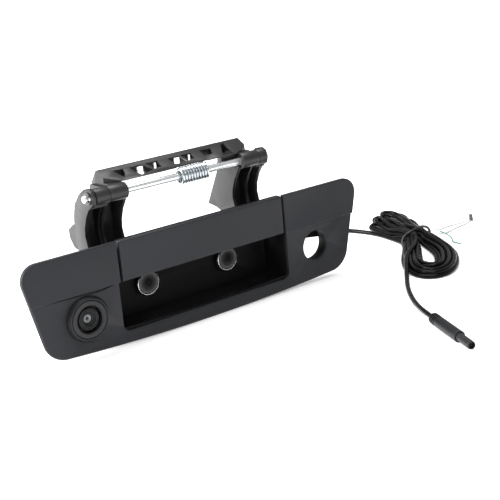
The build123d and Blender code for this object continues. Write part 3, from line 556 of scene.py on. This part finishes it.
def hank_design():
    """The hank's turns before they settle: near loop, neck, far loop, one after another."""
    points = []
    for k, (reach, tip_u, tip_v, layer) in enumerate(HANK_TURNS):
        low = 2.1 + 3.6 * layer
        slot = k % 3
        left, right = -12.2 + 4.1 * slot + 1.4 * layer, 12.2 - 4.1 * slot - 1.4 * layer
        side = 9.0 + 18.5 * reach
        far_end = 92.0 + 25.0 * reach
        lift = low + 0.6 * math.sin(2.1 * k)
        points += [(0, left, low), (22, left - 2.2, low), (48, -15.5 + slot * 2.0, lift),
                   (76, -16.5 + slot * 2.0, lift),
                   (far_end - 14, -17.0 + 3.0 * slot * (1 - reach), lift), (far_end - 1, -9.0, lift),
                   (far_end, 2.0, lift), (far_end - 14, 0.42 * side + 2.0, lift), (62, 0.86 * side, lift),
                   (40, side, lift), (16, 0.5 * (side + right) + 1.5, low), (0, right, low)]
        reach_u, reach_v = tip_u + 5.0, tip_v
        size = math.hypot(reach_u, reach_v)
        du, dv = reach_u / size, reach_v / size
        for share, spread in FAR_LOOP:
            u, v = share * size * du, share * size * dv
            points.append((u + dv * spread, v - du * spread, lift + (1.5 if share > 0.9 else 0.0)))
    points += [(0, -1.0, 12.0), (14, 0.0, 12.4), (28, -5.0, 12.4), (40, -11.0, 12.2)]
    return [hank_place(*p) for p in points]


def resample(points, step):
    points = np.array(points, float)
    gaps = np.linalg.norm(np.diff(points, axis=0), axis=1)
    place = np.concatenate([[0], np.cumsum(gaps)])
    count = int(round(place[-1] / step)) + 1
    at = np.linspace(0, place[-1], count)
    return np.stack([np.interp(at, place, points[:, i]) for i in range(3)], 1)


def settle(points, pinned, rounds):
    """Lets the turns push each other apart, lie on the floor and keep their bend and their length."""
    start = points.copy()
    rest = np.linalg.norm(np.diff(points, axis=0), axis=1)
    free = (~pinned).astype(float)[:, None]
    count = len(points)
    tie = np.array(HANK_TIE)
    ax = np.array(HANK_AXIS)
    side = np.array([-HANK_AXIS[1], HANK_AXIS[0]])
    for turn in range(rounds):
        calm = turn / rounds
        middle = 0.5 * (points[:-2] + points[2:]) - points[1:-1]
        points[1:-1] += (0.30 - 0.12 * calm) * middle * free[1:-1]
        before, after = points[1:-1] - points[:-2], points[2:] - points[1:-1]
        bend = np.arctan2(np.linalg.norm(np.cross(before, after), axis=1), (before * after).sum(1))
        points[1:-1] += 0.4 * middle * (bend > STEP / MIN_BEND)[:, None] * free[1:-1]
        points[:, :2] += 0.012 * (start - points)[:, :2] * free
        points[:, 2:] -= 0.10 * free
        for parity in (0, 1):
            a, b = points[parity:-1:2], points[parity + 1::2]
            gap = b - a
            size = np.linalg.norm(gap, axis=1)[:, None]
            move = 0.5 * gap * (1 - rest[parity::2][:, None] / size) * 0.5
            points[parity:-1:2] += move * free[parity:-1:2]
            points[parity + 1::2] -= move * free[parity + 1::2]
        if turn % 8 == 0:
            square = (points ** 2).sum(1)
            close = square[:, None] + square[None, :] - 2 * points @ points.T < 81.0
            first, second = np.nonzero(np.triu(close, 4))
        for _ in range(3):
            gap = points[first] - points[second]
            size = np.sqrt((gap ** 2).sum(1)) + 1e-6
            short = np.clip(2 * CABLE_R + 0.25 - size, 0, 1.2)
            push = gap * (short / size * 0.34)[:, None]
            moved = np.stack([np.bincount(first, push[:, i], count) - np.bincount(second, push[:, i], count)
                              for i in range(3)], 1)
            points += np.clip(moved, -1.0, 1.0) * free
        flat = points[:, :2] - tie
        u, v = flat @ ax, flat @ side
        hold = np.clip(1 - np.abs(u - 2) / 16, 0, 1) * (1 - pinned)
        over = np.clip(np.abs(v) - 11.6, 0, 4) * np.sign(v) * hold
        points[:, :2] -= over[:, None] * side[None, :] * 0.6
        points[:, 2] -= np.clip(points[:, 2] - 10.0, 0, 4) * hold * 0.35
        points[:, 2] = np.where(pinned, points[:, 2], np.maximum(points[:, 2], LOW))
    return points


def ease(points, pinned, smallest, rounds=60):
    """Opens any bend tighter than smallest, and gives the length it took back to the neighbours."""
    free = (~pinned)[1:-1]
    loose = (~pinned)[:, None]
    rest = np.linalg.norm(np.diff(points, axis=0), axis=1)
    for _ in range(rounds):
        before, after = points[1:-1] - points[:-2], points[2:] - points[1:-1]
        reach = 0.5 * (np.linalg.norm(before, axis=1) + np.linalg.norm(after, axis=1))
        turn = np.arctan2(np.linalg.norm(np.cross(before, after), axis=1), (before * after).sum(1))
        tight = (turn * smallest > reach) & free
        points[1:-1] += 0.3 * (0.5 * (points[:-2] + points[2:]) - points[1:-1]) * tight[:, None]
        for parity in (0, 1):
            a, b = points[parity:-1:2], points[parity + 1::2]
            gap = b - a
            size = np.linalg.norm(gap, axis=1)[:, None]
            move = 0.3 * gap * (1 - rest[parity::2][:, None] / size)
            points[parity:-1:2] += move * loose[parity:-1:2]
            points[parity + 1::2] -= move * loose[parity + 1::2]
        points[:, 2] = np.where(pinned, points[:, 2], np.maximum(points[:, 2], LOW))
    for _ in range(SMOOTHINGS):
        middle = 0.5 * (points[:-2] + points[2:])
        points[1:-1] += 0.5 * (middle - points[1:-1]) * free[:, None]
    return points


def cable_points():
    lead, tail = LEAD_ROUTE, TAIL_ROUTE[2:]
    hank = hank_design()
    design = resample([lead[-1]] + hank + [tail[0]], STEP)
    guard_in, guard_out = resample(lead[-5:], STEP)[:-1], resample(tail, STEP)[1:]
    whole = np.concatenate([guard_in, design, guard_out])
    pinned = np.ones(len(whole), bool)
    pinned[len(guard_in) + 1:len(guard_in) + len(design) - 1] = False
    rounds = 320
    whole = settle(whole, pinned, rounds)
    turns = whole[len(guard_in) + 1:len(guard_in) + len(design) - 1:2]
    points = np.concatenate([lead, turns, tail])
    pinned = np.ones(len(points), bool)
    pinned[len(lead) - 1:len(lead) + len(turns) + 1] = False
    return [row(*p) for p in ease(points, pinned, 8.0)]


cable = nurbs("camera_cable", cable_points(), CABLE_R * MM, 4, 5)
paint(cable, "cable")
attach(cable, FIXED)
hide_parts("cable_lead", "cable_hank", "cable_tail")
CABLE_LENGTH = spline_length(cable)
print("cable length", round(CABLE_LENGTH, 3))
TIE_ROUTE = [(20, -15.5, 1.4), (15, -17, 4), (7, -14.5, 9), (1, -4, 13), (-7, 3.5, 13.2), (-12, 8.5, 12),
             (-15, 12.5, 9),
             (-16, 14, 4.5), (-15, 13, 1.4)]
tie = nurbs("hank_twist_tie", [row(*hank_place(*p)) for p in TIE_ROUTE], 1.15 * MM, 8, 5)
paint(tie, "tie")
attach(tie, FIXED)
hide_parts("hank_tie")

WIRE_R = 0.6
WIRE_LOW = WIRE_R + 0.05
WIRES = {
    "power_wire_white": ([(272, 12, 7), (279, 15, 4.5), (287, 20, 1.6), (297, 24.5, WIRE_LOW), (308, 24.5, WIRE_LOW),
                          (319, 21.5, WIRE_LOW), (329.5, 20.4, 1.2)], "white_wire", "fitting", ["wire_terminal"]),
    "power_wire_grey": ([(271, 6, 4.5), (278, 8, 2.2), (286, 10.5, WIRE_LOW), (296, 13, WIRE_LOW),
                         (307, 15.0, WIRE_LOW), (318, 16, WIRE_LOW), (329.0, 17.6, 1.2)], "grey_wire", "fitting",
                        ["wire_terminal"]),
    "trigger_wire": ([(268, 3, 8), (272, -3, 5), (271, -10, 2.4), (265, -16, WIRE_LOW), (267.5, -24, WIRE_LOW)],
                     "green_wire", "bare", []),
}
for node, (route, key, far_end, extra) in WIRES.items():
    wire = nurbs(node + "_cord", [row(*p) for p in route], WIRE_R * MM, 6, 4)
    paint(wire, key)
    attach(wire, FIXED)
    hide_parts(node)
    max(0.03, round(spline_length(wire), 4))


# ---- floor and light ----
def add_floor():
    mesh = bpy.data.meshes.new("floor")
    size = 6.0
    mesh.from_pydata([(-size, -size, 0), (size, -size, 0), (size, size, 0), (-size, size, 0)], [], [(0, 1, 2, 3)])
    floor = bpy.data.objects.new("floor", mesh)
    bpy.context.scene.collection.objects.link(floor)
    mat, tree, shader = new_material("glowing_floor_paper")
    paper = noise(tree, 3.0, 2.0)
    tree.links.new(ramp(tree, paper.outputs["Fac"], [(0.3, 0.86), (0.7, 0.88)]), shader.inputs["Base Color"])
    shader.inputs["Roughness"].default_value = 0.9
    shader.inputs["Specular IOR Level"].default_value = 0.1
    # Painted light: the floor also glows, at 0.3 within half a metre of its middle and rising to full beyond a metre,
    # which lightens the cast shadows and whitens the far floor.
    coords = tree.nodes.new("ShaderNodeTexCoord")
    reach = tree.nodes.new("ShaderNodeVectorMath")
    reach.operation = "LENGTH"
    tree.links.new(coords.outputs["Object"], reach.inputs[0])
    far = ramp(tree, reach.outputs["Value"], [(0.5, 0.3), (1.0, 1.0)])
    shader.inputs["Emission Strength"].default_value = 1.0
    tree.links.new(far, shader.inputs["Emission Color"])
    mesh.materials.append(mat)


def add_light(name, place, target, size, power):
    data = bpy.data.lights.new(name, "AREA")
    data.shape, data.size, data.energy = "DISK", size, power
    light = bpy.data.objects.new(name, data)
    bpy.context.scene.collection.objects.link(light)
    light.location = place
    light.rotation_euler = (Vector(target) - Vector(place)).to_track_quat("-Z", "Y").to_euler()


def add_world(seen, fill):
    """White paper all round: plain white where it is seen, and dimmer as a source of light."""
    world = bpy.data.worlds.new("studio")
    world.use_nodes = True
    tree = world.node_tree
    back = tree.nodes["Background"]
    back.inputs["Color"].default_value = (1.0, 1.0, 1.0, 1.0)
    path = tree.nodes.new("ShaderNodeLightPath")
    level = tree.nodes.new("ShaderNodeMapRange")
    level.inputs["To Min"].default_value, level.inputs["To Max"].default_value = fill, seen
    tree.links.new(path.outputs["Is Camera Ray"], level.inputs["Value"])
    tree.links.new(level.outputs["Result"], back.inputs["Strength"])
    bpy.context.scene.world = world


add_floor()
add_world(1.0, 0.42)
add_light("top", (0.1, 0.25, 2.2), (0.1, -0.1, 0), 1.8, 55)
add_light("left", (-1.6, 0.75, 0.75), (0, 0, 0.06), 0.9, 88)
add_light("front", (-0.9, -1.4, 1.3), (0.03, 0, 0.05), 1.0, 9)
bpy.context.scene.view_settings.view_transform = "Standard"
